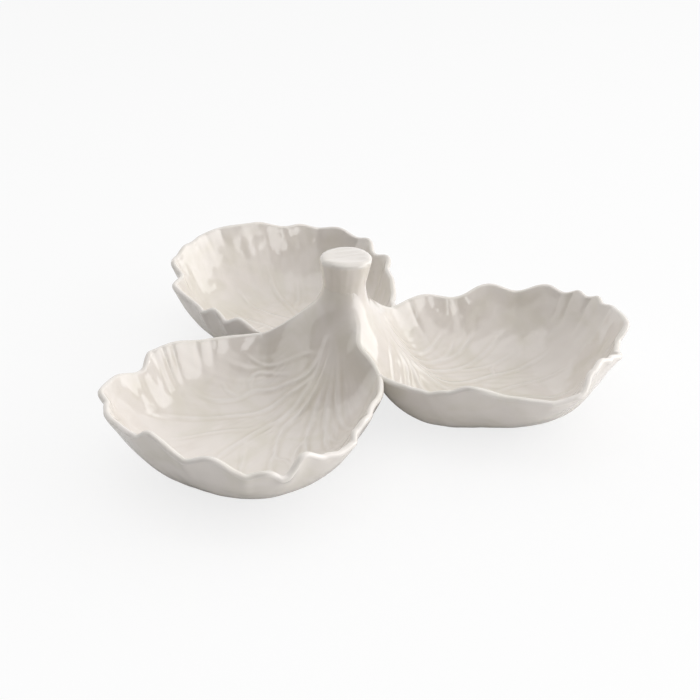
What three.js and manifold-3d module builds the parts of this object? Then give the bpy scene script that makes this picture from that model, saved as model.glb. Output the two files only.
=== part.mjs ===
// Serving dish of three ruffled leaf bowls luted round a cut-stalk handle.
// Millimetres, +Z up. The dish stands on z = 0 and its right leaf points along +X.
import * as THREE from "three";
import { mergeVertices } from "three/addons/utils/BufferGeometryUtils.js";
import Module from "manifold-3d";

const wasm = await Module();
wasm.setup();

// Leaf bowl, measured from the stalk axis along the leaf
const TIP_REACH = 148;
const BOWL_CENTRE = 90;
const HALF_WIDTH = 64.5;
const RIM_SQUARENESS = 2.4;
const TIP_HEIGHT = 43.5;
const SIDE_HEIGHT = 37.5;
const WALL = 4.2;
const FLOOR_RADIUS = 22;
const TIP_WALL_CURVE = 2;
const JUNCTION_WALL_CURVE = 3.8;
const NECK_WALL_CURVE = 1.9;
const RUFFLE_TOP_SHARE = 0.62;

// Seam where two leaves meet: it climbs from the rim junction to the collar
const JUNCTION_RADIUS = 46;
const JUNCTION_HEIGHT = 33;
const COLLAR_HEIGHT = 58;
const SEAM_CURVE = 1.25;
const LUTE_GAP = 0.3;
const COIL_RADIUS = 2;
const COIL_INSET = 6;

// Stalk handle
const STALK_BASE_RADIUS = 11.4;
const STALK_WAIST_GAIN = 0.6;
const STALK_TOP_RADIUS = 13.6;
const STALK_LENGTH = 22;
const STALK_WALL = 4.2;
const SPIGOT_RADIUS = 7;
const SPIGOT_WALL = 2.6;
const SPIGOT_LENGTH = 9;
const CAP_THICKNESS = 3;
const CAP_EDGE_ROUND = 1.8;
const CAP_BOSS_LENGTH = 3;

// Foot ring under each bowl
const FOOT_HEIGHT = 2.2;
const FOOT_INSET = 2;
const FOOT_WIDTH = 5;
const FOOT_EDGE = 0.6;

// Fineness of the facets
const FREE_RIM_STEPS = 84;
const SEAM_STEPS = 6;
const NECK_STEPS = 6;
const WALL_RINGS = 6;
const LIP_STEPS = 4;
const TURN_SEGMENTS = 48;
const COIL_STEPS = 10;
const COIL_SEGMENTS = 12;

// Each leaf was pressed and pinched by hand, so each has its own fullness at the sides
// and its own crests and folds: [degrees round the bowl from the tip, lift in mm, flare in mm]
const LEAVES = [
  {
    name: "right",
    sideCurve: 2.1,
    ruffles: [
      [-140, -1, 0], [-126, -2, -1], [-107, 6, 2], [-90, 1, 0], [-72, 0, 1], [-59, -1, 2],
      [-49, 3, -2], [-36, 4, -1.5], [-24, 1, 1], [-15, -3, -2.5], [-4, -3, -2.5], [8, 3, 4],
      [30, 1.5, 2.5], [37, 1, 1], [44, 2, 2], [50, 0, 0], [57, 1.5, 1], [64, -0.5, 0],
      [74, 2, 2], [87, -1.5, -1], [101, 1.5, 1.5], [119, -3, -3], [135, 1, 1],
    ],
  },
  {
    name: "rear",
    sideCurve: 3,
    ruffles: [
      [-140, -2, -2], [-126, -1, -2], [-109, -2, -3], [-96, -0.5, -1.5], [-84, -3, -4],
      [-73, 0.5, 0.5], [-64, -1.5, -1], [-52, 0.5, 0], [-39, -2, -1], [-29, -1, 0],
      [-20, -2.5, -1.5], [0, 1, 1], [26, 2.5, 2], [34, 2, 2.5], [41, 2, 1.5], [48, 3, 3],
      [56, 1, 2], [64, 0.5, 2], [74, -2, -5], [90, -1, 4], [108, -1.5, 1], [115, -2, 1],
      [124, 3, 1], [131, 0, 0], [139, 5, 1],
    ],
  },
  {
    name: "front",
    sideCurve: 2.8,
    ruffles: [
      [-140, -0.5, 0], [-126, -0.5, 0], [-108, 1.5, 1], [-97, 0.5, 1], [-86, -3, -3.5],
      [-72, -0.5, -1], [-56, 0, 0.5], [-46, -3, -3], [-30, -2, -1], [-10, -1, 0.5], [2, 5, 2],
      [19, -3, 0], [32, 2, 1], [46, -4.5, 1], [54, -2.5, 2], [60, -5, 2], [74, 3.5, 0.5],
      [86, 2.5, 2], [98, 0.5, 1], [106, 1, 2], [122, 1, 0], [140, -0.5, 0],
    ],
  },
];

// Sizes that follow from the ones above
const HALF_WEDGE = Math.PI / LEAVES.length;
const FLOOR_MIDDLE = FOOT_HEIGHT + WALL / 2;
const NECK_RADIUS = STALK_BASE_RADIUS - WALL / 2;
const NECK_HEIGHT = COLLAR_HEIGHT + WALL / 2;
const STALK_FOOT = COLLAR_HEIGHT + LUTE_GAP;
const STALK_TOP = STALK_FOOT + STALK_LENGTH;
const BORE_RADIUS = STALK_TOP_RADIUS - STALK_WALL;

// Solids

function toSolid(geometry) {
  const bare = new THREE.BufferGeometry();
  bare.setAttribute("position", geometry.getAttribute("position"));
  bare.setIndex(geometry.getIndex());
  const merged = mergeVertices(bare);
  const vertProperties = new Float32Array(merged.getAttribute("position").array);
  const triVerts = new Uint32Array(merged.getIndex().array);
  return new wasm.Manifold(new wasm.Mesh({ numProp: 3, vertProperties, triVerts }));
}

function fromSolid(solid) {
  const mesh = solid.getMesh();
  const geometry = new THREE.BufferGeometry();
  geometry.setAttribute("position", new THREE.BufferAttribute(mesh.vertProperties, 3));
  geometry.setIndex(new THREE.BufferAttribute(mesh.triVerts, 1));
  geometry.computeVertexNormals();
  return geometry;
}

function turned(profile) {
  const points = profile.map(([radius, height]) => new THREE.Vector2(radius, height));
  return new THREE.LatheGeometry(points, TURN_SEGMENTS).rotateX(Math.PI / 2);
}

// Rim of a leaf: free edge, then up the seam, round the neck and down the other seam

const junction = new THREE.Vector2(
  JUNCTION_RADIUS * Math.cos(HALF_WEDGE),
  JUNCTION_RADIUS * Math.sin(HALF_WEDGE),
);
const junctionReach = Math.hypot(junction.x - BOWL_CENTRE, junction.y);
const junctionAngle = Math.atan2(junction.y, junction.x - BOWL_CENTRE);
const SIDE_ANGLE = Math.PI / 2;

function freeEdge(sideCurve, angle) {
  const turn = Math.abs(angle);
  if (turn < SIDE_ANGLE) {
    const along = Math.cos(turn) / (TIP_REACH - BOWL_CENTRE);
    const across = Math.sin(turn) / HALF_WIDTH;
    const sum = along ** RIM_SQUARENESS + across ** RIM_SQUARENESS;
    const tipShare = Math.cos(turn) ** 2;
    return {
      reach: sum ** (-1 / RIM_SQUARENESS),
      height: THREE.MathUtils.lerp(SIDE_HEIGHT, TIP_HEIGHT, tipShare),
      curve: THREE.MathUtils.lerp(sideCurve, TIP_WALL_CURVE, tipShare),
    };
  }
  const share = Math.min(1, (turn - SIDE_ANGLE) / (junctionAngle - SIDE_ANGLE));
  return {
    reach: THREE.MathUtils.lerp(HALF_WIDTH, junctionReach, share ** 2),
    height: THREE.MathUtils.lerp(SIDE_HEIGHT, JUNCTION_HEIGHT, share ** 2),
    curve: THREE.MathUtils.lerp(sideCurve, JUNCTION_WALL_CURVE, share),
  };
}

function ruffleAt(ruffles, angle) {
  const end = THREE.MathUtils.radToDeg(junctionAngle);
  const degrees = THREE.MathUtils.radToDeg(angle);
  const inside = ruffles.filter(([at]) => Math.abs(at) < end);
  const knots = [[-end, 0, 0], ...inside, [end, 0, 0]];
  const next = Math.max(1, knots.findIndex(([at]) => at >= degrees));
  const [fromAt, fromLift, fromFlare] = knots[next - 1];
  const [toAt, toLift, toFlare] = knots[next];
  const share = THREE.MathUtils.clamp((degrees - fromAt) / (toAt - fromAt), 0, 1);
  const eased = (1 - Math.cos(Math.PI * share)) / 2;
  return {
    lift: THREE.MathUtils.lerp(fromLift, toLift, eased),
    flare: THREE.MathUtils.lerp(fromFlare, toFlare, eased),
  };
}

function seamEdge(share) {
  const radius = THREE.MathUtils.lerp(JUNCTION_RADIUS, NECK_RADIUS, share);
  return {
    x: radius * Math.cos(HALF_WEDGE),
    y: radius * Math.sin(HALF_WEDGE),
    height: THREE.MathUtils.lerp(JUNCTION_HEIGHT, NECK_HEIGHT, share ** SEAM_CURVE),
    curve: THREE.MathUtils.lerp(JUNCTION_WALL_CURVE, NECK_WALL_CURVE, share),
  };
}

function station(x, y, height, curve, lift = 0, flare = 0) {
  const reach = Math.hypot(x - BOWL_CENTRE, y);
  const ahead = (x - BOWL_CENTRE) / reach;
  return { ahead, aside: y / reach, reach, height, curve, lift, flare };
}

function rimStations(leaf) {
  const stations = [];
  for (let i = 0; i <= FREE_RIM_STEPS; i += 1) {
    const angle = THREE.MathUtils.lerp(-junctionAngle, junctionAngle, i / FREE_RIM_STEPS);
    const { reach, height, curve } = freeEdge(leaf.sideCurve, angle);
    const { lift, flare } = ruffleAt(leaf.ruffles, angle);
    const x = BOWL_CENTRE + reach * Math.cos(angle);
    stations.push(station(x, reach * Math.sin(angle), height, curve, lift, flare));
  }
  for (let i = 1; i <= SEAM_STEPS; i += 1) {
    const { x, y, height, curve } = seamEdge(i / SEAM_STEPS);
    stations.push(station(x, y, height, curve));
  }
  for (let i = 1; i < NECK_STEPS; i += 1) {
    const angle = THREE.MathUtils.lerp(HALF_WEDGE, -HALF_WEDGE, i / NECK_STEPS);
    const x = NECK_RADIUS * Math.cos(angle);
    stations.push(station(x, NECK_RADIUS * Math.sin(angle), NECK_HEIGHT, NECK_WALL_CURVE));
  }
  for (let i = SEAM_STEPS; i >= 1; i -= 1) {
    const { x, y, height, curve } = seamEdge(i / SEAM_STEPS);
    stations.push(station(x, -y, height, curve));
  }
  return stations;
}

// Middle of the leaf wall: rise 0 is the edge of the flat floor, rise 1 is the rim

function wallPoint(at, rise) {
  const fade = THREE.MathUtils.smoothstep(rise, 1 - RUFFLE_TOP_SHARE, 1);
  const radius = THREE.MathUtils.lerp(FLOOR_RADIUS, at.reach, rise) + at.flare * fade;
  const height = THREE.MathUtils.lerp(FLOOR_MIDDLE, at.height, rise ** at.curve);
  return new THREE.Vector3(
    BOWL_CENTRE + radius * at.ahead,
    radius * at.aside,
    height + at.lift * fade,
  );
}

function wallFrame(stations, i, rise) {
  const STEP = 0.02;
  const count = stations.length;
  const before = wallPoint(stations[(i + count - 1) % count], rise);
  const after = wallPoint(stations[(i + 1) % count], rise);
  const round = after.sub(before);
  const outward = wallPoint(stations[i], rise).sub(wallPoint(stations[i], rise - STEP)).normalize();
  const normal = new THREE.Vector3().crossVectors(outward, round).normalize();
  return { middle: wallPoint(stations[i], rise), outward, normal };
}

// Closed skin of a leaf as rings: up the inside, over the round lip, down the outside

function leafRing(stations, rise, side) {
  return stations.map((at, i) => {
    if (rise === 0) {
      return wallPoint(at, 0).setZ(FLOOR_MIDDLE + side * WALL / 2);
    }
    const { middle, normal } = wallFrame(stations, i, rise);
    return middle.addScaledVector(normal, side * WALL / 2);
  });
}

function lipRing(stations, turn) {
  return stations.map((at, i) => {
    const { middle, outward, normal } = wallFrame(stations, i, 1);
    middle.addScaledVector(normal, Math.cos(turn) * WALL / 2);
    return middle.addScaledVector(outward, Math.sin(turn) * WALL / 2);
  });
}

function leafSkin(leaf) {
  const stations = rimStations(leaf);
  const rings = [];
  for (let i = 0; i <= WALL_RINGS; i += 1) {
    rings.push(leafRing(stations, i / WALL_RINGS, 1));
  }
  for (let i = 1; i < LIP_STEPS; i += 1) {
    rings.push(lipRing(stations, Math.PI * i / LIP_STEPS));
  }
  for (let i = WALL_RINGS; i >= 0; i -= 1) {
    rings.push(leafRing(stations, i / WALL_RINGS, -1));
  }
  const points = rings.flat();
  points.push(new THREE.Vector3(BOWL_CENTRE, 0, FLOOR_MIDDLE + WALL / 2));
  points.push(new THREE.Vector3(BOWL_CENTRE, 0, FLOOR_MIDDLE - WALL / 2));
  const count = stations.length;
  const topCentre = points.length - 2;
  const underCentre = points.length - 1;
  const lastRing = (rings.length - 1) * count;
  const faces = [];
  for (let i = 0; i < count; i += 1) {
    const j = (i + 1) % count;
    faces.push(topCentre, i, j);
    faces.push(underCentre, lastRing + j, lastRing + i);
    for (let ring = 0; ring < rings.length - 1; ring += 1) {
      const low = ring * count;
      const high = low + count;
      faces.push(low + i, high + i, high + j);
      faces.push(low + i, high + j, low + j);
    }
  }
  const geometry = new THREE.BufferGeometry().setFromPoints(points);
  geometry.setIndex(faces);
  return geometry;
}

// The third of the circle that one leaf may fill, up to the collar, half a lute gap inside each seam

function wedge() {
  const apex = LUTE_GAP / 2 / Math.sin(HALF_WEDGE);
  const far = 2 * TIP_REACH;
  const shape = new THREE.Shape();
  shape.moveTo(apex, 0);
  shape.lineTo(apex + far, -far * Math.tan(HALF_WEDGE));
  shape.lineTo(apex + far, far * Math.tan(HALF_WEDGE));
  shape.closePath();
  return new THREE.ExtrudeGeometry(shape, { depth: COLLAR_HEIGHT, bevelEnabled: false });
}

function socket() {
  const radius = SPIGOT_RADIUS + LUTE_GAP;
  const bore = new THREE.CylinderGeometry(radius, radius, 2 * COLLAR_HEIGHT, TURN_SEGMENTS);
  return bore.rotateX(Math.PI / 2).translate(0, 0, COLLAR_HEIGHT);
}

function leafBowl(leaf) {
  const trimmed = toSolid(leafSkin(leaf)).intersect(toSolid(wedge()));
  return fromSolid(trimmed.subtract(toSolid(socket())));
}

// Coil of clay pressed into the seam from below, so that it clears both walls by the lute gap

function seamCoil(leaf) {
  const stations = rimStations(leaf);
  const firstOnSeam = FREE_RIM_STEPS + 1;
  const path = [];
  for (let i = 0; i < SEAM_STEPS; i += 1) {
    const { middle, normal } = wallFrame(stations, firstOnSeam + i, 1);
    const drop = (WALL / 2 + LUTE_GAP + COIL_RADIUS) / normal.z;
    const radius = Math.hypot(middle.x, middle.y);
    const clearOfNeck = radius > STALK_BASE_RADIUS + COIL_INSET;
    const clearOfRim = radius < JUNCTION_RADIUS - COIL_INSET;
    if (clearOfNeck && clearOfRim) {
      path.push(new THREE.Vector3(radius, 0, middle.z - drop));
    }
  }
  const round = new THREE.Shape().absarc(0, 0, COIL_RADIUS, 0, 2 * Math.PI, false);
  return new THREE.ExtrudeGeometry(round, {
    steps: COIL_STEPS,
    curveSegments: COIL_SEGMENTS,
    extrudePath: new THREE.CatmullRomCurve3(path),
    bevelEnabled: false,
  });
}

// Hollow stalk whose spigot drops into the collar of the three necks

function stalk() {
  const waist = STALK_BASE_RADIUS + STALK_WAIST_GAIN;
  const spigotFoot = STALK_FOOT - SPIGOT_LENGTH;
  const spigotBore = SPIGOT_RADIUS - SPIGOT_WALL;
  return turned([
    [spigotBore, spigotFoot],
    [SPIGOT_RADIUS, spigotFoot],
    [SPIGOT_RADIUS, STALK_FOOT],
    [STALK_BASE_RADIUS, STALK_FOOT],
    [waist, STALK_FOOT + STALK_LENGTH * 0.4],
    [(waist + STALK_TOP_RADIUS) / 2, STALK_FOOT + STALK_LENGTH * 0.75],
    [STALK_TOP_RADIUS, STALK_TOP],
    [BORE_RADIUS, STALK_TOP],
    [BORE_RADIUS, STALK_FOOT + STALK_LENGTH * 0.4],
    [spigotBore, STALK_FOOT],
    [spigotBore, spigotFoot],
  ]);
}

// Cut face of the stalk: a disc with a rounded edge and a boss that seats in the bore

function stalkCap() {
  const seat = STALK_TOP + LUTE_GAP;
  const bossRadius = BORE_RADIUS - LUTE_GAP;
  const bossFoot = seat - CAP_BOSS_LENGTH;
  const profile = [[0, bossFoot], [bossRadius, bossFoot], [bossRadius, seat], [STALK_TOP_RADIUS, seat]];
  const roundSteps = 4;
  for (let i = 0; i <= roundSteps; i += 1) {
    const turn = SIDE_ANGLE * i / roundSteps;
    const inset = CAP_EDGE_ROUND * (1 - Math.cos(turn));
    const height = seat + CAP_THICKNESS - CAP_EDGE_ROUND * (1 - Math.sin(turn));
    profile.push([STALK_TOP_RADIUS - inset, height]);
  }
  profile.push([0, seat + CAP_THICKNESS]);
  return turned(profile);
}

// Bare foot ring on the flat underside of a bowl

function footRing() {
  const outer = FLOOR_RADIUS - FOOT_INSET;
  const inner = outer - FOOT_WIDTH;
  const top = FOOT_HEIGHT - LUTE_GAP;
  const ring = turned([
    [inner + FOOT_EDGE, 0],
    [outer - FOOT_EDGE, 0],
    [outer, FOOT_EDGE],
    [outer, top],
    [inner, top],
    [inner, FOOT_EDGE],
    [inner + FOOT_EDGE, 0],
  ]);
  return ring.translate(BOWL_CENTRE, 0, 0);
}

// Materials

function glaze() {
  return new THREE.MeshStandardMaterial({ color: 0xdcd5ca, roughness: 0.22, metalness: 0 });
}

function bareClay() {
  return new THREE.MeshStandardMaterial({ color: 0xd6c8b2, roughness: 0.85, metalness: 0 });
}

// Assembly

const pieces = new THREE.Group();

function addPiece(name, geometry, material, turn) {
  const mesh = new THREE.Mesh(fromSolid(toSolid(geometry)), material);
  mesh.name = name;
  mesh.rotation.z = turn;
  pieces.add(mesh);
}

LEAVES.forEach((leaf, i) => {
  const turn = 2 * HALF_WEDGE * i;
  const next = LEAVES[(i + 1) % LEAVES.length];
  addPiece(`leaf_bowl_${leaf.name}`, leafBowl(leaf), glaze(), turn);
  addPiece(`seam_coil_${leaf.name}_${next.name}`, seamCoil(leaf), glaze(), turn + HALF_WEDGE);
  addPiece(`foot_ring_${leaf.name}`, footRing(), bareClay(), turn);
});
addPiece("stalk", stalk(), glaze(), 0);
addPiece("stalk_cap", stalkCap(), glaze(), 0);

// The origin is the middle of the box round the dish, on the table
const dish = new THREE.Group();
dish.name = "leaf_serving_dish";
dish.add(pieces);
pieces.updateMatrixWorld(true);
const middle = new THREE.Box3().setFromObject(pieces, true).getCenter(new THREE.Vector3());
pieces.position.set(-middle.x, -middle.y, 0);

export default dish;
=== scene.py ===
import math
from collections import namedtuple

import bpy
import numpy as np
from mathutils import Matrix, Vector, noise
from mathutils.kdtree import KDTree


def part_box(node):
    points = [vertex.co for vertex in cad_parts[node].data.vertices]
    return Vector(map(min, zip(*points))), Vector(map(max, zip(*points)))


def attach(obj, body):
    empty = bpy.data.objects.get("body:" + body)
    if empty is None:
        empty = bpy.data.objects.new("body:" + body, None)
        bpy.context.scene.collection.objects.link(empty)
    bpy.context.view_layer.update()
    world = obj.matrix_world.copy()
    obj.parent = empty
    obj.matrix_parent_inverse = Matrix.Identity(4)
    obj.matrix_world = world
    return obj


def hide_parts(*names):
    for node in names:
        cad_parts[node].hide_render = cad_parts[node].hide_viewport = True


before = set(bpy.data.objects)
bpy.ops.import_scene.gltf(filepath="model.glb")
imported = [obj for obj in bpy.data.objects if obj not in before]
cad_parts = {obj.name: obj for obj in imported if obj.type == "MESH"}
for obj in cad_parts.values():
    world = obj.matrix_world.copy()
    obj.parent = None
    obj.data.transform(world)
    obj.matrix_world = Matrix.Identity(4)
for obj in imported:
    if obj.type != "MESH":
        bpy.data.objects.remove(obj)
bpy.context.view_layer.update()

MM = 0.001
TINY = 1e-9

# Where the stalk stands, in millimetres in the part's frame
stalk_low, stalk_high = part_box("stalk")
AXIS_X = (stalk_low.x + stalk_high.x) / 2 / MM
AXIS_Y = (stalk_low.y + stalk_high.y) / 2 / MM

# Camera, as read from the rims and seams of the dish: millimetres and degrees
CAMERA_BACK = 577.6
CAMERA_HEIGHT = 336.3
CAMERA_PITCH = 28.19
CAMERA_YAW = 0.29
CAMERA_ROLL = -0.33
CAMERA_LENS = 61.17
DISH_TURN = 7.12

# Leaf bowl, in millimetres in the leaf's own frame: x runs from the stalk's axis to the tip
TIP_REACH = 148
BOWL_CENTRE = 90
HALF_WIDTH = 64.5
RIM_SQUARENESS = 2.4
TIP_HEIGHT = 43.5
SIDE_HEIGHT = 37.5
WALL = 4.2
LIP = 3.4
LIP_THINNING_START = 0.6
FLOOR_RADIUS = 22
FOOT_HEIGHT = 2.2
TIP_WALL_CURVE = 1.95
NECK_WALL_CURVE = 1.9
RUFFLE_TOP_SHARE = 0.62
PINCH_SPREAD = 26
JUNCTION_RADIUS = 46
JUNCTION_HEIGHT = 33
NECK_RADIUS = 9.3
NECK_HEIGHT = 60.1
SEAM_CURVE = 1.25
LAP_DROP = 0.35
LAP_START = 22
LAP_LENGTH = 10
NECK_EASE_START = 12
NECK_EASE_LENGTH = 32
STALK_WAIST = 11.4
FILLET_RISE = 7.5
FILLET_LENGTH = 1.7
HALF_WEDGE = math.pi / 3
FLOOR_MIDDLE = FOOT_HEIGHT + WALL / 2
JUNCTION_X = JUNCTION_RADIUS * math.cos(HALF_WEDGE)
JUNCTION_Y = JUNCTION_RADIUS * math.sin(HALF_WEDGE)
JUNCTION_REACH = math.hypot(JUNCTION_X - BOWL_CENTRE, JUNCTION_Y)
JUNCTION_ANGLE = math.atan2(JUNCTION_Y, JUNCTION_X - BOWL_CENTRE)
NECK_X = NECK_RADIUS * math.cos(HALF_WEDGE)
NECK_Y = NECK_RADIUS * math.sin(HALF_WEDGE)
NECK_ANGLE = math.atan2(NECK_Y, NECK_X - BOWL_CENTRE)

# Fineness of a leaf's skin, whose rows crowd together towards the rim
STEPS_AROUND = 560
FLOOR_ROWS = 28
WALL_ROWS = 84
RIM_CROWDING = 0.25
LIP_ROWS = 16
OUTSIDE_SKIP = 3
DENSE_RIM = 6000

# Points closer than this, in millimetres, are one point. Sharper edges than this, in degrees, stay sharp
MERGE_DISTANCE = 0.0004
GLAZED_SHARP_ANGLE = 50
FOOT_SHARP_ANGLE = 40

# The three leaves. A pinch of the rim is its angle about the bowl's middle, then its lift and its flare.
# A pleat is a crease that runs down from the rim: its angle, depth, half width and length.
# Wall curves come in pairs, for the leaf's clockwise side and for its other side.
Leaf = namedtuple("Leaf", "name turn side_curves junction_curves pinches pleats")
RIGHT_PINCHES = [
    (-140, -1, 0), (-127, -2, -1), (-118, 1, 0.5), (-107, 6, 2), (-90, 1, 0), (-69, -1, 1), (-60, 0, 1.5),
    (-50, 6, -4), (-41, 6.5, -5.5), (-32, 4, -3.5), (-22, 0.5, -0.5), (-13, -3, -2.5),
    (-4, -3, -2.5), (8, 3, 4), (30, 2, 2.5), (37, 1, 1), (43, 2.5, 2.5), (49, 1, 0.5), (55, 2.5, 1.5),
    (62, 0, 0), (72, 2.5, 2), (87, -1.5, -1), (101, 1.5, 1.5), (119, -3, -3), (135, 1, 1),
]
REAR_PINCHES = [
    (-140, -2, -3), (-126, -1, -4), (-111, -2, -4.5), (-98, 0, 0), (-85, -3, -4), (-73, 0.5, 0.5),
    (-64, -1.5, -1), (-52, 0.5, 0), (-39, -2, -1), (-29, -1, 0), (-20, -2, -1.5), (0, 1.8, 1),
    (26, 3, 3), (34, 2.5, 3.5), (41, 2.5, 2), (48, 3, 3), (56, 2, 2.5), (63, 2.5, 3), (74, -0.5, -2.5),
    (88, 0.5, 4.5), (108, -1.5, 1), (115, -2, 1), (124, 3, 1), (131, 0, 0), (139, 5, 1),
]
FRONT_PINCHES = [
    (-140, -0.5, 0), (-126, -0.5, 0), (-108, 2, 1.5), (-97, 1.5, 2), (-86, -3, -3.5), (-71, 0.5, 0),
    (-58, 0.5, 1), (-48, -1.5, -3.2), (-38, -2, -1.5), (-28, -2, -1), (-10, -1, 0.5), (2, 5, 2),
    (19, -3, 0), (32, 2, 1), (46, -4.5, 1), (54, -2.5, 2), (60, -5, 2), (70, 3, 0.5), (80, -2, 1),
    (88, -3.5, 3), (95, -3, 3.5), (100, 0, 1.5), (106, 2, 2), (122, 1, 0), (140, -0.5, 0),
]
RIGHT_PLEATS = [
    (30, 0.8, 4, 10), (46, 0.7, 2.8, 17), (57, 0.6, 2.6, 15), (64, 0.5, 2.5, 10), (87, 0.9, 4, 16),
    (119, 1, 4, 18), (141, 0.8, 2, 22), (-126, 0.6, 3, 10), (-72, 0.6, 3, 12), (-4, 0.6, 2.5, 12),
]
REAR_PLEATS = [
    (22, 0.35, 2, 10), (31, 0.4, 2, 11), (40, 0.4, 2, 9), (60, 0.6, 2.5, 12), (-40, 0.8, 3, 14),
    (-18, 0.3, 3, 10), (-66, 0.8, 3, 12), (-86, 0.8, 3, 14), (115, 0.8, 2.5, 12), (131, 0.8, 2.5, 12),
]
FRONT_PLEATS = [
    (-127, 0.7, 2.5, 12), (-120, 0.5, 2.2, 14), (-108, 0.9, 2, 18), (-103, 1, 1.8, 20), (-97.5, 0.8, 2, 16),
    (-86, 0.7, 3, 12), (-46, 0.6, 3, 12), (20, 0.6, 3, 12), (46, 0.7, 3, 12), (60, 0.6, 3, 10),
    (112, 0.5, 3, 12),
]
LEAVES = [
    Leaf("right", 0, (1.95, 2.1), (6, 3.8), RIGHT_PINCHES, RIGHT_PLEATS),
    Leaf("rear", 120, (3, 3.9), (3.8, 5), REAR_PINCHES, REAR_PLEATS),
    Leaf("front", 240, (2.8, 2.8), (3.8, 3.8), FRONT_PINCHES, FRONT_PLEATS),
]

# Veins of the leaf mould, as plan points in the leaf's frame: most run from the stalk outwards
MAIN_VEINS = [
    [(14, 3), (30, 4.5), (45, 2), (56, -2.5), (62, -5), (75, -6), (98, -6), (122, -4), (140, -2)],
    [(14, 5), (28, 8), (42, 6.5), (57, 4), (68, 8), (78, 14), (88, 20), (104, 30), (120, 38)],
    [(16, 7), (30, 10.5), (42, 12), (50, 15), (60, 20), (68, 27), (80, 40), (90, 52)],
    [(18, 8), (30, 13.5), (40, 18), (52, 26), (61, 34), (68, 44), (72, 54)],
    [(20, 10), (30, 17.5), (40, 26), (48, 36), (53, 46)],
    [(16, 3), (30, 4), (38, -2), (43, -9), (54, -16), (65, -26), (75, -34), (88, -43), (104, -50)],
    [
        (16, 2), (25, 2.5), (31, 0), (35, -5), (37, -13), (41, -21), (45, -29), (54, -33), (66, -42),
        (72, -52),
    ],
]
BRANCH_VEINS = [
    [(34, 3.5), (48, 0.5), (60, -1), (74, -1.5)],
    [(45, -29), (42, -33), (37, -32), (34, -26), (33, -17), (32, -9)],
    [(51, -33), (53.5, -37), (54, -44)],
    [(62, -6), (70, -11), (80, -21), (92, -30), (108, -37)],
    [(70, 9), (77, 13.5), (82, 19), (81, 24), (84, 31)],
    [(80, -4), (88, 2), (98, 9), (112, 16), (128, 20)],
    [(98, -7), (110, -14), (126, -20)],
    [(58, 19), (70, 22), (84, 30), (96, 40)],
    [(46, 22), (56, 33), (60, 44)],
    [(24, 3), (26, -8), (29, -20), (33, -34), (36, -46)],
]

# Size of the veins, and of the furrow beside each, whose place and width are counted in widths of the vein.
# Starts, finishes and fades are shares of the vein's length or of the way up to the rim
VEIN_STEP = 1
VEIN_REACH = 6
VEIN_ROOT_WIDTH = 1.5
VEIN_END_WIDTH = 0.9
VEIN_HEIGHT = 0.52
VEIN_END_SHARE = 0.5
VEIN_START = 0.3
VEIN_FINISH = 0.2
BRANCH_HEIGHT_SHARE = 0.6
BRANCH_WIDTH_SHARE = 0.8
VEIN_BED_POINTS = 4
FURROW_SHARE = 0.4
FURROW_PLACE = 2
FURROW_WIDTH = 0.9
RELIEF_FADE = 0.12
CREASE_START = 0.5

# Where the glaze is painted lighter, partly as thinner glaze and partly as a painted highlight: close to
# the rim, and no closer to the stalk than this
THIN_AND_HIGHLIGHT_START = 0.93
THIN_AND_HIGHLIGHT_NECK_START = 14
THIN_AND_HIGHLIGHT_NECK_LENGTH = 16

# Fine ribs that fan out from the leaf's root between the veins
RIB_ROOT = (8, 2)
RIBS_PER_RADIAN = 24
RIB_LENGTH = 34
RIB_HEIGHT = 0.22
RIB_START = 22
RIB_FADE = 14

# Unevenness of hand-pressed clay: how far apart its swells lie and how high they stand, and over how many
# millimetres they die out towards the seams
SWELLS = [(34, 0.7), (15, 0.4), (7, 0.13)]
SWELL_SEAM_FADE = 25

# The seam between the right and front leaves sways towards the front leaf on its way to the rim
SWAY_DEGREES = -60
SWAY_SPREAD = 18
SWAY_RADIUS = 29
SWAY_LENGTH = 6.5
SWAY = 4

# Stalk and its cut top, as radius and height in millimetres
STALK_PROFILE = [
    (11, 54), (12.5, 57), (12.35, 59), (12.05, 61), (11.75, 63), (11.5, 65), (11.45, 67), (11.6, 69),
    (11.95, 71), (12.4, 73.5), (12.85, 76.2), (13.3, 78.5), (13.6, 80.3),
]
CAP_EDGE = [
    (13.6, 80.3), (13.75, 81), (13.65, 81.8), (13.25, 82.5), (12.6, 83), (11.8, 83.25), (10.9, 83.35),
    (9.8, 83.35), (8.7, 83.3), (7.6, 83.25),
]
CAP_LEVEL = 83.2
CAP_RINGS = [6.5, 5.4, 4.3, 3.2, 2.1, 1, 0.3]
CAP_PROFILE = CAP_EDGE + [(radius, CAP_LEVEL) for radius in CAP_RINGS]
TURNED_STEPS = 96

# Handwork on the stalk. A lobe is its count, its share of the radius and its phase in radians
STALK_LOBES = [(2, 0.012, 0.6), (3, 0.008, 2)]
LEAN = 1.2
LEAN_START = 58
LEAN_LENGTH = 30
FIBRE_DEPTH = 0.25
FIBRE_WIDTH = 2.2
FIBRE_LENGTH = 18
CUT_DEPTH = 0.5
CUT_WIDTH = 3.6
CUT_LENGTH = 15
CUT_DEGREES = 25
CUT_START = 82.2
CUT_RISE = 1
CUT_EDGE = 13.2
CUT_EDGE_FADE = 2

# Foot ring, as radius and height about the ring's own middle
FOOT_PROFILE = [
    (20, 0.7), (20, 2.2), (15, 2.2), (15, 0.7), (15.2, 0.2), (15.7, 0), (19.3, 0), (19.8, 0.2), (20, 0.7),
]

# Coil under each seam, and how far it lies below the seam's ridge
COIL_RADIUS = 2
COIL_DROP = 7.5
COIL_INNER_END = 19
COIL_OUTER_END = 39
COIL_KNOTS = 9
COIL_ROUNDNESS = 6

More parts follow.
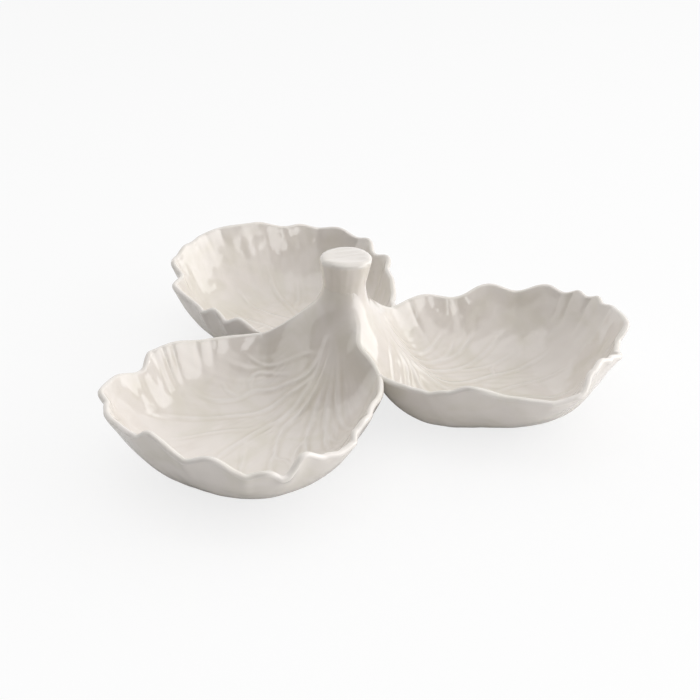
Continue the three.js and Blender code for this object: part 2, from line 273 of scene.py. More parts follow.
# Colours as red, green and blue from 0 to 1, not gamma-coded
IVORY = (0.76, 0.71, 0.665, 1)
IVORY_OLIVE = (0.7, 0.655, 0.585, 1)
# Darker, warmer glaze colour for the furrows beside the veins: partly glaze that gathers there, partly
# painted shade
IVORY_POOLED_AND_SHADED = (0.62, 0.565, 0.48, 1)
# Lighter, cooler glaze colour for veins, rim, lip and stalk top: partly thinner glaze, partly painted
# highlight
IVORY_THIN_AND_HIGHLIT = (0.8, 0.77, 0.735, 1)
CLAY = (0.62, 0.52, 0.4, 1)
CLAY_DARK = (0.48, 0.38, 0.28, 1)
FLOOR_WHITE = (0.86, 0.86, 0.86, 1)
PURE_WHITE = (1, 1, 1, 1)

# Glaze and clay. Noise scales are for places in metres, and bump heights are in millimetres
GLAZE_CLOUD = {"Scale": 45, "Detail": 4, "Distortion": 0.6}
GLAZE_RIPPLE = {"Scale": 170, "Detail": 2}
OLIVE_LIMITS = (0.38, 0.7)
# Share of the darker furrow colour, partly painted shade, laid beside the veins
POOLED_AND_SHADED_SHARE = 0.45
# Share of that lighter colour, partly painted highlight, laid on veins, rim, lip and stalk top
THIN_AND_HIGHLIGHT_SHARE = 0.32
RIPPLE_STRENGTH = 0.18
RIPPLE_HEIGHT = 0.4
GLAZE_ROUGHNESS = 0.03
GLAZE_CLOUD_ROUGHNESS = 0.05
GLAZE_IOR = 1.6
CLAY_GRIT = {"Scale": 700, "Detail": 4}
CLAY_CLOUD = {"Scale": 60, "Detail": 2}
GRIT_STRENGTH = 0.5
GRIT_HEIGHT = 0.2
CLAY_ROUGHNESS = 0.75
CLAY_GRIT_ROUGHNESS = 0.2

# Studio: a white room, dark behind the camera's left shoulder. Directions are degrees to the left of the
# picture's right hand, and degrees up. A spread is the cosines of the angles from the dark side over which
# the room turns dark: the edge is soft where it shades the clay, and crisp where the glaze mirrors it
ROOM_LEVEL = 1.03
DARK_LEVEL = 0.02
DARK_TURN = 252
DARK_RISE = 8
SHADED_SPREAD = (0.1, 0.7)
MIRRORED_SPREAD = (0.47, 0.53)
FLOOR_SIZE = 8
FLOOR_SEEN_WHITE = 0.8

# Soft lamps: direction as above, distance and size in metres, and brightness beside white at 1
Lamp = namedtuple("Lamp", "name turn rise away width height level")
LAMPS = [
    Lamp("right_box", -6, 18, 1.4, 2.4, 1, 1.9),
    Lamp("top_box", 250, 74, 1.4, 1.4, 1.4, 0.7),
    Lamp("window", 297, 27, 1.6, 0.22, 0.5, 2.8),
]


def lerp(start, end, share):
    return start + (end - start) * share


def smooth_share(share):
    share = np.clip(share, 0, 1)
    return share * share * (3 - 2 * share)


# Camera

def place_camera():
    turn = math.radians(DISH_TURN)
    bpy.ops.object.select_all(action="DESELECT")
    bpy.ops.object.camera_add()
    camera = bpy.context.object
    camera.location = (
        (AXIS_X + CAMERA_BACK * math.sin(turn)) * MM,
        (AXIS_Y - CAMERA_BACK * math.cos(turn)) * MM,
        CAMERA_HEIGHT * MM,
    )
    heading = Matrix.Rotation(math.radians(DISH_TURN - CAMERA_YAW), 3, "Z")
    tilt = Matrix.Rotation(math.radians(90 - CAMERA_PITCH), 3, "X")
    roll = Matrix.Rotation(math.radians(CAMERA_ROLL), 3, "Z")
    camera.rotation_euler = (heading @ tilt @ roll).to_euler()
    camera.data.lens = CAMERA_LENS
    bpy.context.scene.camera = camera


# Helpers for pieces

def take(piece):
    bpy.ops.object.select_all(action="DESELECT")
    piece.select_set(True)
    bpy.context.view_layer.objects.active = piece


def close_skin(piece, sharp_angle):
    take(piece)
    bpy.ops.object.mode_set(mode="EDIT")
    bpy.ops.mesh.select_all(action="SELECT")
    bpy.ops.mesh.remove_doubles(threshold=MERGE_DISTANCE * MM)
    bpy.ops.mesh.normals_make_consistent(inside=False)
    bpy.ops.object.mode_set(mode="OBJECT")
    bpy.ops.object.shade_smooth_by_angle(angle=math.radians(sharp_angle))


def points_of(mesh):
    points = np.empty(len(mesh.vertices) * 3)
    mesh.vertices.foreach_get("co", points)
    return points.reshape(-1, 3)


def move_points(mesh, points):
    mesh.vertices.foreach_set("co", points.ravel())
    mesh.update()


def mark(mesh, name, values):
    marks = mesh.attributes.new(name, "FLOAT", "POINT")
    marks.data.foreach_set("value", values.astype(np.float32))


def dress(piece, name, material, slot, *nodes):
    piece.name = name
    piece.data.materials.clear()
    piece.data.materials.append(material)
    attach(piece, "root")
    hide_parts(*nodes)


# Shape of a leaf: the rim all round the bowl, and the wall between floor and rim

Edge = namedtuple("Edge", "reach height curve lift flare")


def by_side(angle, pair):
    return np.where(angle < 0, pair[0], pair[1])


def free_edge(leaf, angle):
    """Reach, height and wall curve of the unpinched rim, tip and sides and down to the junctions."""
    turn = np.abs(angle)
    ahead = np.abs(np.cos(turn)) / (TIP_REACH - BOWL_CENTRE)
    aside = np.sin(turn) / HALF_WIDTH
    front_reach = (ahead ** RIM_SQUARENESS + aside ** RIM_SQUARENESS) ** (-1 / RIM_SQUARENESS)
    tip = np.cos(turn) ** 2
    back = np.clip((turn - math.pi / 2) / (JUNCTION_ANGLE - math.pi / 2), 0, 1)
    in_front = turn < math.pi / 2
    reach = np.where(in_front, front_reach, lerp(HALF_WIDTH, JUNCTION_REACH, back ** 2))
    front_height = lerp(SIDE_HEIGHT, TIP_HEIGHT, tip)
    height = np.where(in_front, front_height, lerp(SIDE_HEIGHT, JUNCTION_HEIGHT, back ** 2))
    side_curve = by_side(angle, leaf.side_curves)
    front_curve = lerp(side_curve, TIP_WALL_CURVE, tip)
    back_curve = lerp(side_curve, by_side(angle, leaf.junction_curves), back ** 2)
    curve = np.where(in_front, front_curve, back_curve)
    return reach, height, curve


def pinched(leaf, angle):
    """Lift and flare that the potter's fingers give the rim."""
    end = math.degrees(JUNCTION_ANGLE)
    knots = np.array([(-end, 0, 0), *leaf.pinches, (end, 0, 0)])
    degrees = np.degrees(angle)
    before = np.clip(np.searchsorted(knots[:, 0], degrees) - 1, 0, len(knots) - 2)
    first, second = knots[before], knots[before + 1]
    share = np.clip((degrees - first[:, 0]) / (second[:, 0] - first[:, 0]), 0, 1)
    ease = (1 - np.cos(math.pi * share)) / 2
    return lerp(first[:, 1], second[:, 1], ease), lerp(first[:, 2], second[:, 2], ease)


def leaf_edge(leaf, angle):
    """The whole edge of a leaf: free rim, the two seams to its neighbours, and the neck at the stalk."""
    reach, height, curve = free_edge(leaf, angle)
    lift, flare = pinched(leaf, angle)
    turn = np.abs(angle)
    slope = math.tan(HALF_WEDGE)
    beyond = np.maximum(turn, JUNCTION_ANGLE)
    seam_reach = BOWL_CENTRE * slope / (np.sin(beyond) - slope * np.cos(beyond))
    seam_radius = np.hypot(BOWL_CENTRE + seam_reach * np.cos(beyond), seam_reach * np.sin(beyond))
    climb = np.clip((JUNCTION_RADIUS - seam_radius) / (JUNCTION_RADIUS - NECK_RADIUS), 0, 1)
    past_centre = BOWL_CENTRE * np.sin(math.pi - turn)
    neck_depth = np.sqrt(np.clip(NECK_RADIUS ** 2 - past_centre ** 2, 0, None))
    neck_reach = BOWL_CENTRE * np.cos(math.pi - turn) - neck_depth
    on_seam = turn > JUNCTION_ANGLE
    on_neck = turn > NECK_ANGLE
    seam_height = lerp(JUNCTION_HEIGHT, NECK_HEIGHT, climb ** SEAM_CURVE)
    seam_curve = lerp(by_side(angle, leaf.junction_curves), NECK_WALL_CURVE, climb)
    return Edge(
        np.where(on_neck, neck_reach, np.where(on_seam, seam_reach, reach)),
        np.where(on_neck, NECK_HEIGHT, np.where(on_seam, seam_height, height)),
        np.where(on_neck, NECK_WALL_CURVE, np.where(on_seam, seam_curve, curve)),
        np.where(on_seam, 0, lift),
        np.where(on_seam, 0, flare),
    )


def wall_points(edge, angle, rise):
    """Points on the middle of the wall, from the floor at rise 0 to the rim at rise 1."""
    fade = smooth_share((rise - (1 - RUFFLE_TOP_SHARE)) / RUFFLE_TOP_SHARE)
    radius = lerp(FLOOR_RADIUS, edge.reach, rise) + edge.flare * fade
    height = lerp(FLOOR_MIDDLE, edge.height, rise ** edge.curve) + edge.lift * fade
    return np.stack([BOWL_CENTRE + radius * np.cos(angle), radius * np.sin(angle), height], axis=-1)


def even_angles(leaf):
    """Directions from the bowl's middle that step evenly along the rim, once round to the start."""
    dense = np.linspace(-math.pi, math.pi, DENSE_RIM)
    rim = wall_points(leaf_edge(leaf, dense), dense, 1.0)
    steps = np.linalg.norm(np.diff(rim, axis=0), axis=1)
    along = np.concatenate([[0], np.cumsum(steps)])
    return np.interp(np.linspace(0, along[-1], STEPS_AROUND + 1), along, dense)


def soften(values, spread):
    """Values once round the rim, blurred over that many steps."""
    if spread <= 0:
        return values
    waves = np.fft.rfft(values[:-1])
    turns = np.arange(len(waves)) / (len(values) - 1)
    blurred = np.fft.irfft(waves * np.exp(-2 * (math.pi * spread * turns) ** 2), len(values) - 1)
    return np.append(blurred, blurred[0])


def leaf_middle(leaf, angle):
    """Rows of points over the floor and up the wall, on the middle of the clay."""
    edge = leaf_edge(leaf, angle)
    rows = []
    for i in range(FLOOR_ROWS):
        radius = FLOOR_RADIUS * i / FLOOR_ROWS
        x = BOWL_CENTRE + radius * np.cos(angle)
        y = radius * np.sin(angle)
        rows.append(np.stack([x, y, np.full_like(angle, FLOOR_MIDDLE)], axis=-1))
    for i in range(WALL_ROWS + 1):
        share = i / WALL_ROWS
        rise = share + RIM_CROWDING * share * (1 - share)
        spread = PINCH_SPREAD * math.sqrt(1 - rise)
        soft = Edge(*(soften(values, spread) for values in edge))
        rows.append(wall_points(soft, angle, rise))
    return np.array(rows)


def outward(middle):
    """Unit directions from the clay into the bowl, and along the wall towards the rim."""
    ring = middle[:, :-1]
    along = np.roll(ring, -1, axis=1) - np.roll(ring, 1, axis=1)
    along = np.concatenate([along, along[:, :1]], axis=1)
    up = np.gradient(middle, axis=0)
    normal = np.cross(up, along)
    # The first row is a single point, so nothing there says which way it faces
    normal[:2] = (0, 0, 1)
    normal *= np.sign(normal[..., 2:3] + TINY)
    normal /= np.linalg.norm(normal, axis=-1, keepdims=True)
    up /= np.maximum(np.linalg.norm(up, axis=-1, keepdims=True), TINY)
    return normal, up


# Veins raised inside a leaf

def plan_finder(middle):
    """Finds points of the clay by their place in plan."""
    points = middle.reshape(-1, 3)
    finder = KDTree(len(points))
    for i, (x, y, z) in enumerate(points.tolist()):
        finder.insert((x, y, 0), i)
    finder.balance()
    return finder


def laid_on(points, finder, line):
    """A line drawn in plan, laid on the clay."""
    heights = []
    for x, y in line.tolist():
        close = [i for place, i, apart in finder.find_n((x, y, 0), VEIN_BED_POINTS)]
        heights.append(points[close, 2].mean())
    return np.column_stack([line, heights])


def drawn_through(knots):
    """A smooth line through its knots in even steps."""
    knots = np.array(knots, float)
    before = np.vstack([2 * knots[0] - knots[1], knots[:-2]])
    after = np.vstack([knots[2:], 2 * knots[-1] - knots[-2]])
    line = []
    for p, a, b, q in zip(before, knots[:-1], knots[1:], after):
        count = max(2, int(np.linalg.norm(b - a) / VEIN_STEP))
        for t in np.linspace(0, 1, count, endpoint=False):
            bend = (2 * p - 5 * a + 4 * b - q) * t * t + (3 * (a - b) + q - p) * t ** 3
            line.append(a + ((b - p) * t + bend) / 2)
    return np.array(line)


def vein_lines():
    """Every vein as plan points with its width and height at each point."""
    lines = []
    kinds = [(MAIN_VEINS, 1, 1), (BRANCH_VEINS, BRANCH_WIDTH_SHARE, BRANCH_HEIGHT_SHARE)]
    for veins, width_share, height_share in kinds:
        for knots in veins:
            line = drawn_through(knots)
            along = np.linspace(0, 1, len(line))
            width = lerp(VEIN_ROOT_WIDTH, VEIN_END_WIDTH, along) * width_share
            ends = smooth_share(along / VEIN_START) * smooth_share((1 - along) / VEIN_FINISH)
            height = VEIN_HEIGHT * height_share * lerp(1, VEIN_END_SHARE, along) * ends
            lines.append((line, width, height))
    return lines


def nearest_on(line, points):
    """How far each point is from a line of points, and where along the line, in steps, it is nearest."""
    closest = np.linalg.norm(points[:, None] - line, axis=2).argmin(axis=1)
    apart = np.full(len(points), np.inf)
    along = np.zeros(len(points))
    for start in (closest - 1, closest):
        start = np.clip(start, 0, len(line) - 2)
        run = line[start + 1] - line[start]
        share = np.clip(((points - line[start]) * run).sum(axis=1) / (run * run).sum(axis=1), 0, 1)
        gap = np.linalg.norm(points - line[start] - run * share[:, None], axis=1)
        along = np.where(gap < apart, start + share, along)
        apart = np.minimum(gap, apart)
    return apart, along


def vein_relief(middle):
    """Height of the veins at each point, how much darker colour goes in the furrows beside them, partly
    glaze that gathers and partly painted shade, and how much lighter colour goes on them, partly thinner
    glaze and partly painted highlight.
    """
    points = middle.reshape(-1, 3)
    finder = plan_finder(middle)
    flat, clear, level = np.ones((3, len(points)))
    for line, width, height in vein_lines():
        vein = laid_on(points, finder, line)
        low, high = vein.min(axis=0) - VEIN_REACH, vein.max(axis=0) + VEIN_REACH
        near = np.nonzero(np.all((points > low) & (points < high), axis=1))[0]
        apart, along = nearest_on(vein, points[near])
        steps = np.arange(len(vein))
        apart = apart / np.interp(along, steps, width)
        share = np.interp(along, steps, height) / VEIN_HEIGHT
        ridge = np.exp(-apart ** 2)
        furrow = np.exp(-((apart - FURROW_PLACE) / FURROW_WIDTH) ** 2)
        flat[near] *= 1 - share * ridge
        clear[near] *= 1 - ridge
        level[near] *= 1 - share * furrow
    beside = (1 - level) * clear
    relief = VEIN_HEIGHT * (1 - flat - FURROW_SHARE * beside)
    shape = middle.shape[:2]
    return relief.reshape(shape), beside.reshape(shape), (1 - flat).reshape(shape)


def fine_ribs(middle):
    """Height of the fine ribs at each point."""
    x = middle[..., 0].ravel() - RIB_ROOT[0]
    y = middle[..., 1].ravel() - RIB_ROOT[1]
    away = np.hypot(x, y)
    across = np.arctan2(y, x) * RIBS_PER_RADIAN
    ribs = [noise.noise((a, b, 0)) for a, b in zip(across.tolist(), (away / RIB_LENGTH).tolist())]
    height = RIB_HEIGHT * np.array(ribs) * smooth_share((away - RIB_START) / RIB_FADE)
    return height.reshape(middle.shape[:2])


def uneven(middle):
    """Soft swells of the clay, which die out towards the seams and the neck."""
    points = middle.reshape(-1, 3)
    swell = np.zeros(len(points))
    for apart, high in SWELLS:
        places = (points / apart).tolist()
        swell += high * np.array([noise.noise(place, noise_basis="PERLIN_NEW") for place in places])
    aside = np.abs(middle[..., 1]) - middle[..., 0] * math.tan(HALF_WEDGE)
    clear = smooth_share(-aside / SWELL_SEAM_FADE)
    return swell.reshape(middle.shape[:2]) * clear


def creased(leaf, angle, middle):
    """Depth of the creases that run down from the rim where the clay was folded."""
    rim_steps = np.linalg.norm(np.diff(middle[-1], axis=0), axis=1)
    along = np.concatenate([[0], np.cumsum(rim_steps)])
    down = np.linalg.norm(middle - middle[-1], axis=2)
    depth = np.zeros(middle.shape[:2])
    for degrees, deep, half_width, length in leaf.pleats:
        aside = along - np.interp(math.radians(degrees), angle, along)
        depth += deep * np.exp(-(aside / half_width) ** 2 - (down / length) ** 2)
    up_wall = np.clip((np.arange(len(middle)) - FLOOR_ROWS) / WALL_ROWS, 0, 1)
    return depth * smooth_share(up_wall / CREASE_START)[:, None]


# Skin of a leaf bowl, inside, lip and outside as one closed surface

def pressed_clay(leaf):
    """Middle of the clay with its swells and creases, and the directions into the bowl and up the wall."""
    angle = even_angles(leaf)
    middle = leaf_middle(leaf, angle)
    normal, up = outward(middle)
    middle = middle + normal * (uneven(middle) - creased(leaf, angle, middle))[..., None]
    normal, up = outward(middle)
    return middle, normal, up


def leaf_skin(leaf):
    """Rows of points over inside, lip and outside, and where the glaze is painted darker, partly as glaze
    that gathers and partly as painted shade, and where lighter, partly as thinner glaze and partly as
    painted highlight.
    """
    middle, normal, up = pressed_clay(leaf)
    height_share = np.linspace(0, 1, len(middle))[:, None]
    thinning = smooth_share((height_share - LIP_THINNING_START) / (1 - LIP_THINNING_START))
    half = lerp(WALL / 2, LIP / 2, thinning)[..., None]
    turns = np.linspace(0, math.pi, LIP_ROWS + 1)[1:-1]
    lip = [middle[-1] + LIP / 2 * (normal[-1] * math.cos(t) + up[-1] * math.sin(t)) for t in turns]
    shown = eased_neck(np.concatenate([middle + normal * half, lip[:LIP_ROWS // 2]]))
    inside, lip_top = shown[:len(middle)], shown[len(middle):]
    relief, gathered_and_shaded, bared_and_highlit = vein_relief(inside)
    relief = (relief + fine_ribs(inside)) * smooth_share((1 - height_share) / RELIEF_FADE)
    inside = inside + outward(inside)[0] * relief[..., None]
    under = middle - normal * half
    skin = np.concatenate([inside, lip_top, lip[LIP_ROWS // 2:], under[::-OUTSIDE_SKIP], under[:1]])
    overhang = np.zeros((len(skin), 1))
    overhang[:len(inside) + len(lip)] = LIP / 2
    # Painted shade beside the veins, partly glaze that gathers there, and painted highlight on veins, rim
    # and lip, partly thinner glaze
    pool = np.zeros(skin.shape[:2])
    pool[:len(gathered_and_shaded)] = gathered_and_shaded
    thin_and_highlit = thin_glaze_and_highlight(skin, bared_and_highlit, len(lip))
    return within_wedge(skin, overhang), pool, thin_and_highlit


def thin_glaze_and_highlight(skin, bared_and_highlit, lip_rows):
    """How much lighter the glaze is painted, partly as thinner glaze and partly as a painted highlight: on
    the veins, towards the rim and on the lip, but not at the stalk.
    """
    height_share = np.linspace(0, 1, len(bared_and_highlit))[:, None]
    thin_and_highlit = np.zeros(skin.shape[:2])
    thin_and_highlit[:len(bared_and_highlit)] = np.maximum(bared_and_highlit, smooth_share((height_share - THIN_AND_HIGHLIGHT_START) / (1 - THIN_AND_HIGHLIGHT_START)))
    thin_and_highlit[len(bared_and_highlit):len(bared_and_highlit) + lip_rows] = 1
    off_stalk = np.hypot(skin[..., 0], skin[..., 1]) - THIN_AND_HIGHLIGHT_NECK_START
    return thin_and_highlit * smooth_share(off_stalk / THIN_AND_HIGHLIGHT_NECK_LENGTH)


def eased_neck(shown):
    """Round the stalk the ridges over the seams start broad and low, and sharpen on their way out."""
    x, y, z = np.moveaxis(shown, -1, 0)
    radius = np.hypot(x, y)
    off_middle = np.clip(np.abs(np.arctan2(y, x)) / HALF_WEDGE, 0, 1)
    order = np.argsort(radius[:, 0])
    valley = np.interp(radius, radius[order, 0], z[order, 0])
    climb = np.clip((JUNCTION_RADIUS - radius) / (JUNCTION_RADIUS - NECK_RADIUS), 0, 1)
    crest = lerp(JUNCTION_HEIGHT, NECK_HEIGHT, climb ** SEAM_CURVE) + LIP / 2
    eased = lerp(valley, crest, (1 - np.cos(math.pi * off_middle)) / 2)
    share = 1 - smooth_share((radius - NECK_EASE_START) / NECK_EASE_LENGTH)
    fillet = FILLET_RISE * np.exp(-np.maximum(radius - STALK_WAIST, 0) / FILLET_LENGTH)
    return np.stack([x, y, lerp(z, eased, share) + fillet], axis=-1)


def within_wedge(skin, overhang):
    """Brings points past a seam back to it. On its clockwise side a leaf's lip laps over its neighbour."""
    ahead, aside = math.cos(HALF_WEDGE), math.sin(HALF_WEDGE)
    lapped = smooth_share((np.hypot(skin[..., 0], skin[..., 1]) - LAP_START) / LAP_LENGTH)
    for side, lap in ((1, 0), (-1, overhang * lapped)):
        past = np.maximum(side * skin[..., 1] * ahead - skin[..., 0] * aside - lap, 0)
        skin[..., 0] += past * aside
        skin[..., 1] -= past * ahead * side
    on_seam = smooth_share((skin[..., 1] * ahead - skin[..., 0] * aside) / LIP + 1)
    skin[..., 2] -= LAP_DROP * lapped * on_seam * (skin[..., 0] < JUNCTION_X)
    return skin


def in_part_frame(points, turn):
    """Leaf-frame millimetres to the part's metres, the leaf turned about the stalk."""
    angle = math.radians(turn)
    around = np.arctan2(points[..., 1], points[..., 0]) + angle
    radius = np.hypot(points[..., 0], points[..., 1])
    off_seam = (np.degrees(around) - SWAY_DEGREES + 180) % 360 - 180
    sway = SWAY * np.exp(-(off_seam / SWAY_SPREAD) ** 2 - ((radius - SWAY_RADIUS) / SWAY_LENGTH) ** 2)
    around = around - sway / np.maximum(radius, 1)
    x = radius * np.cos(around) + AXIS_X
    y = radius * np.sin(around) + AXIS_Y
    return np.stack([x, y, points[..., 2]], axis=-1) * MM


def leaf_bowl(leaf, glaze):
    """A flat grid laid over the leaf: once round the rim across it, and from inside to outside along it."""
    skin, pool, thin_and_highlit = leaf_skin(leaf)
    rows, columns = skin.shape[:2]
    bpy.ops.object.select_all(action="DESELECT")
    bpy.ops.mesh.primitive_grid_add(x_subdivisions=columns - 1, y_subdivisions=rows - 1, size=1)
    piece = bpy.context.object
    mesh = piece.data
    flat = points_of(mesh)
    column = np.rint((flat[:, 0] + 0.5) * (columns - 1)).astype(int)
    row = np.rint((flat[:, 1] + 0.5) * (rows - 1)).astype(int)
    move_points(mesh, in_part_frame(skin[row, column], leaf.turn))
    # Painted shade in the vein furrows and painted highlight on veins, rim and lip, both partly a real
    # change in the glaze
    mark(mesh, "pool", pool[row, column])
    mark(mesh, "thin_and_highlit", thin_and_highlit[row, column])
    close_skin(piece, GLAZED_SHARP_ANGLE)
    dress(piece, f"{leaf.name}_leaf_bowl", glaze, "glaze", f"leaf_bowl_{leaf.name}")


# Turned pieces: a ring of edges drawn up through the profile

def turned(profile, x, y):
    radius, height = profile[0]
    bpy.ops.object.select_all(action="DESELECT")
    bpy.ops.mesh.primitive_circle_add(
        vertices=TURNED_STEPS, radius=radius * MM, location=(x * MM, y * MM, height * MM)
    )
    piece = bpy.context.object
    bpy.ops.object.transform_apply(location=True)
    bpy.ops.object.mode_set(mode="EDIT")
    bpy.ops.mesh.select_all(action="SELECT")
    if profile[0] != profile[-1]:
        bpy.ops.mesh.edge_face_add()
    for next_radius, next_height in profile[1:]:
        lift = (next_height - height) * MM
        bpy.ops.mesh.extrude_region_move(TRANSFORM_OT_translate={"value": (0, 0, lift)})
        grow = next_radius / radius
        centre = (x * MM, y * MM, next_height * MM)
        bpy.ops.transform.resize(value=(grow, grow, 1), center_override=centre)
        radius, height = next_radius, next_height
    bpy.ops.object.mode_set(mode="OBJECT")
    return piece


def hand_swell(x, y, height):
    """How much wider than its profile the stalk is at each point, for its lobes and its fibres."""
    angle = np.arctan2(y, x)
    radius = np.maximum(np.hypot(x, y), 1)
    across = x / radius * STALK_WAIST / FIBRE_WIDTH
    back = y / radius * STALK_WAIST / FIBRE_WIDTH
    places = np.column_stack([across, back, height / FIBRE_LENGTH])
    fibres = np.array([noise.noise(place) for place in places.tolist()])
    lobes = sum(share * np.cos(count * angle + phase) for count, share, phase in STALK_LOBES)
    return 1 + lobes + FIBRE_DEPTH * fibres / STALK_WAIST


def knife_marks(x, y, height):
    """How far the knife's marks raise or lower each point of the stalk's top."""
    turn = math.radians(CUT_DEGREES)
    along = x * math.cos(turn) + y * math.sin(turn)
    across = y * math.cos(turn) - x * math.sin(turn)
    places = np.column_stack([along / CUT_LENGTH, across / CUT_WIDTH, np.zeros(len(x))])
    cut = np.array([noise.noise(place) for place in places.tolist()])
    on_top = smooth_share((height - CUT_START) / CUT_RISE)
    within = smooth_share((CUT_EDGE - np.hypot(x, y)) / CUT_EDGE_FADE)
    return CUT_DEPTH * cut * on_top * within


def hand_shaped(piece):
    """Gives a turned piece of the stalk the lean, the swell and the knife marks of handwork."""
    x, y, height = points_of(piece.data).T / MM
    x, y = x - AXIS_X, y - AXIS_Y
    swell = hand_swell(x, y, height)
    lean = LEAN * smooth_share((height - LEAN_START) / LEAN_LENGTH)
    top = height + knife_marks(x, y, height)
    shaped = np.column_stack([AXIS_X + x * swell + lean, AXIS_Y + y * swell, top])
    move_points(piece.data, shaped * MM)


def stalk(glaze):
    piece = turned(STALK_PROFILE, AXIS_X, AXIS_Y)
    hand_shaped(piece)
    close_skin(piece, GLAZED_SHARP_ANGLE)
    dress(piece, "cut_stalk", glaze, "glaze", "stalk")


def stalk_top(glaze):
    piece = turned(CAP_PROFILE, AXIS_X, AXIS_Y)
    hand_shaped(piece)
    # Painted reflection: the whole cut top takes the lighter glaze colour, for the light it mirrors from
    # above
    mark(piece.data, "thin_and_highlit", np.ones(len(piece.data.vertices)))
    close_skin(piece, GLAZED_SHARP_ANGLE)
    dress(piece, "cut_stalk_top", glaze, "glaze", "stalk_cap")


def foot_ring(leaf, clay):
    middle = in_part_frame(np.array([BOWL_CENTRE, 0, 0.0]), leaf.turn) / MM
    piece = turned(FOOT_PROFILE, middle[0], middle[1])
    close_skin(piece, FOOT_SHARP_ANGLE)
    dress(piece, f"{leaf.name}_foot_ring", clay, "bare_clay", f"foot_ring_{leaf.name}")


# Coil pressed into a seam from below

def seam_coil(leaf, neighbour, glaze):
    bpy.ops.object.select_all(action="DESELECT")
    bpy.ops.curve.primitive_nurbs_path_add()
    coil = bpy.context.object
    spline = coil.data.splines[0]
    spline.points.add(COIL_KNOTS - len(spline.points))
    spline.use_endpoint_u = True
    turn = leaf.turn + math.degrees(HALF_WEDGE)
    for i, point in enumerate(spline.points):
        radius = lerp(COIL_OUTER_END, COIL_INNER_END, i / (COIL_KNOTS - 1))
        climb = (JUNCTION_RADIUS - radius) / (JUNCTION_RADIUS - NECK_RADIUS)
        height = lerp(JUNCTION_HEIGHT, NECK_HEIGHT, climb ** SEAM_CURVE) - COIL_DROP
        place = in_part_frame(np.array([radius, 0, height]), turn)
        point.co = (*place, 1)
    coil.data.bevel_depth = COIL_RADIUS * MM
    coil.data.bevel_resolution = COIL_ROUNDNESS
    coil.data.use_fill_caps = True
    bpy.ops.object.convert(target="MESH")
    close_skin(coil, GLAZED_SHARP_ANGLE)
    seam = f"{leaf.name}_{neighbour.name}"
    dress(coil, f"{seam}_seam_coil", glaze, "glaze", f"seam_coil_{seam}")


# Materials

class Wire:
    """A socket of a material, so that shader maths reads as arithmetic."""

    def __init__(self, tree, socket):
        self.tree = tree
        self.socket = socket

    def math(self, operation, first, second):
        return node(self.tree, "ShaderNodeMath", {"operation": operation}, {0: first, 1: second})

    def __add__(self, other):
        return self.math("ADD", self, other)

    def __sub__(self, other):
        return self.math("SUBTRACT", self, other)

    def __mul__(self, other):
        return self.math("MULTIPLY", self, other)

    def __rsub__(self, other):
        return self.math("SUBTRACT", other, self)

    __radd__ = __add__
    __rmul__ = __mul__


def node(tree, kind, settings, sockets, output=0):
    made = tree.nodes.new(kind)
    for name, value in settings.items():
        setattr(made, name, value)
    for key, value in sockets.items():
        if isinstance(value, Wire):
            tree.links.new(value.socket, made.inputs[key])
        else:
            made.inputs[key].default_value = value
    return Wire(tree, made.outputs[output])


def new_material(name):
    material = bpy.data.materials.new(name)
    material.use_nodes = True
    material.node_tree.nodes.clear()
    return material, material.node_tree


def mixed(tree, share, first, second):
    return node(tree, "ShaderNodeMix", {"data_type": "RGBA"}, {0: share, 6: first, 7: second}, 2)


def smooth_step(tree, value, limits):
    sockets = {"Value": value, "From Min": limits[0], "From Max": limits[1]}
    return node(tree, "ShaderNodeMapRange", {"interpolation_type": "SMOOTHSTEP"}, sockets)


def clouded(tree, place, settings):
    return node(tree, "ShaderNodeTexNoise", {}, {"Vector": place, **settings})


def bumped(tree, strength, distance, height):
    sockets = {"Strength": strength, "Distance": distance * MM, "Height": height}
    return node(tree, "ShaderNodeBump", {}, sockets)


def show(shader, output="ShaderNodeOutputMaterial"):
    shader.tree.links.new(shader.socket, shader.tree.nodes.new(output).inputs["Surface"])


def ivory_glaze():
    material, tree = new_material("ivory_glaze")
    place = node(tree, "ShaderNodeTexCoord", {}, {}, "Object")
    pool = node(tree, "ShaderNodeAttribute", {"attribute_name": "pool"}, {}, "Fac")
    thin_and_highlit = node(tree, "ShaderNodeAttribute", {"attribute_name": "thin_and_highlit"}, {}, "Fac")
    cloud = clouded(tree, place, GLAZE_CLOUD)
    ripple = clouded(tree, place, GLAZE_RIPPLE)
    colour = mixed(tree, smooth_step(tree, cloud, OLIVE_LIMITS), IVORY, IVORY_OLIVE)
    # Painted shade: darker, warmer colour in the furrows beside the veins, partly glaze that gathers there
    colour = mixed(tree, pool * POOLED_AND_SHADED_SHARE, colour, IVORY_POOLED_AND_SHADED)
    # Painted highlight: lighter, cooler colour on veins, rim, lip and stalk top, partly glaze that runs
    # thinner there
    colour = mixed(tree, thin_and_highlit * THIN_AND_HIGHLIGHT_SHARE, colour, IVORY_THIN_AND_HIGHLIT)
    roughness = GLAZE_ROUGHNESS + cloud * GLAZE_CLOUD_ROUGHNESS
    bump = bumped(tree, RIPPLE_STRENGTH, RIPPLE_HEIGHT, ripple)
    sockets = {"Base Color": colour, "Roughness": roughness, "Normal": bump, "IOR": GLAZE_IOR}
    show(node(tree, "ShaderNodeBsdfPrincipled", {}, sockets))
    return material


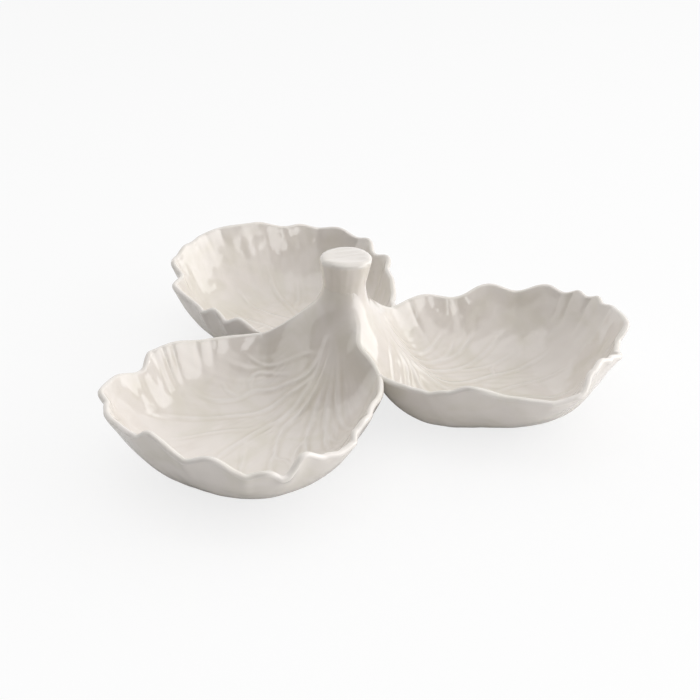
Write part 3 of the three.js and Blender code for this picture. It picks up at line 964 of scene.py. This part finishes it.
def bare_clay():
    material, tree = new_material("bare_clay")
    place = node(tree, "ShaderNodeTexCoord", {}, {}, "Object")
    grit = clouded(tree, place, CLAY_GRIT)
    cloud = clouded(tree, place, CLAY_CLOUD)
    colour = mixed(tree, grit * cloud, CLAY, CLAY_DARK)
    roughness = CLAY_ROUGHNESS + grit * CLAY_GRIT_ROUGHNESS
    bump = bumped(tree, GRIT_STRENGTH, GRIT_HEIGHT, grit)
    sockets = {"Base Color": colour, "Roughness": roughness, "Normal": bump}
    show(node(tree, "ShaderNodeBsdfPrincipled", {}, sockets))
    return material


# Studio: pale floor, white surroundings, soft lamps

def studio_floor():
    """A matt floor. The camera sees most of it as white, so that only a soft shadow shows."""
    material, tree = new_material("studio_floor")
    seen = node(tree, "ShaderNodeLightPath", {}, {}, "Is Camera Ray")
    matt = node(tree, "ShaderNodeBsdfDiffuse", {}, {"Color": FLOOR_WHITE})
    white = node(tree, "ShaderNodeEmission", {}, {"Color": PURE_WHITE, "Strength": 1})
    show(node(tree, "ShaderNodeMixShader", {}, {0: seen * FLOOR_SEEN_WHITE, 1: matt, 2: white}))
    bpy.ops.object.select_all(action="DESELECT")
    bpy.ops.mesh.primitive_plane_add(size=FLOOR_SIZE)
    floor = bpy.context.object
    floor.name = "studio_floor"
    floor.data.materials.append(material)


def studio_direction(turn, rise):
    around, up = math.radians(turn + DISH_TURN), math.radians(rise)
    return Vector((math.cos(around) * math.cos(up), math.sin(around) * math.cos(up), math.sin(up)))


def surroundings():
    """A white studio that is darker behind the camera, as the glaze shows. The camera sees plain white."""
    world = bpy.data.worlds.new("white_studio")
    world.use_nodes = True
    bpy.context.scene.world = world
    tree = world.node_tree
    tree.nodes.clear()
    direction = node(tree, "ShaderNodeTexCoord", {}, {}, "Generated")
    dark_side = studio_direction(DARK_TURN, DARK_RISE)
    sockets = {0: direction, 1: dark_side}
    towards = node(tree, "ShaderNodeVectorMath", {"operation": "DOT_PRODUCT"}, sockets, "Value")
    shaded = smooth_step(tree, towards, SHADED_SPREAD)
    mirrored = smooth_step(tree, towards, MIRRORED_SPREAD)
    glossy_ray = node(tree, "ShaderNodeLightPath", {}, {}, "Is Glossy Ray")
    dark = shaded + glossy_ray * (mirrored - shaded)
    level = ROOM_LEVEL - dark * (ROOM_LEVEL - DARK_LEVEL)
    camera_ray = node(tree, "ShaderNodeLightPath", {}, {}, "Is Camera Ray")
    lit = node(tree, "ShaderNodeBackground", {}, {"Color": PURE_WHITE, "Strength": level})
    white = node(tree, "ShaderNodeBackground", {}, {"Color": PURE_WHITE, "Strength": 1})
    both = node(tree, "ShaderNodeMixShader", {}, {0: camera_ray, 1: lit, 2: white})
    show(both, "ShaderNodeOutputWorld")


def soft_lamp(lamp):
    """A soft box that faces the dish."""
    bpy.ops.object.select_all(action="DESELECT")
    bpy.ops.object.light_add(type="AREA", location=studio_direction(lamp.turn, lamp.rise) * lamp.away)
    box = bpy.context.object
    box.name = lamp.name
    box.rotation_euler = box.location.to_track_quat("Z", "Y").to_euler()
    box.data.shape = "RECTANGLE"
    box.data.size = lamp.width
    box.data.size_y = lamp.height
    box.data.energy = lamp.level * math.pi * lamp.width * lamp.height


def main():
    bpy.context.scene.view_settings.view_transform = "Standard"
    place_camera()
    glaze = ivory_glaze()
    clay = bare_clay()
    for i, leaf in enumerate(LEAVES):
        leaf_bowl(leaf, glaze)
        foot_ring(leaf, clay)
        seam_coil(leaf, LEAVES[(i + 1) % len(LEAVES)], glaze)
    stalk(glaze)
    stalk_top(glaze)
    studio_floor()
    surroundings()
    for lamp in LAMPS:
        soft_lamp(lamp)


main()
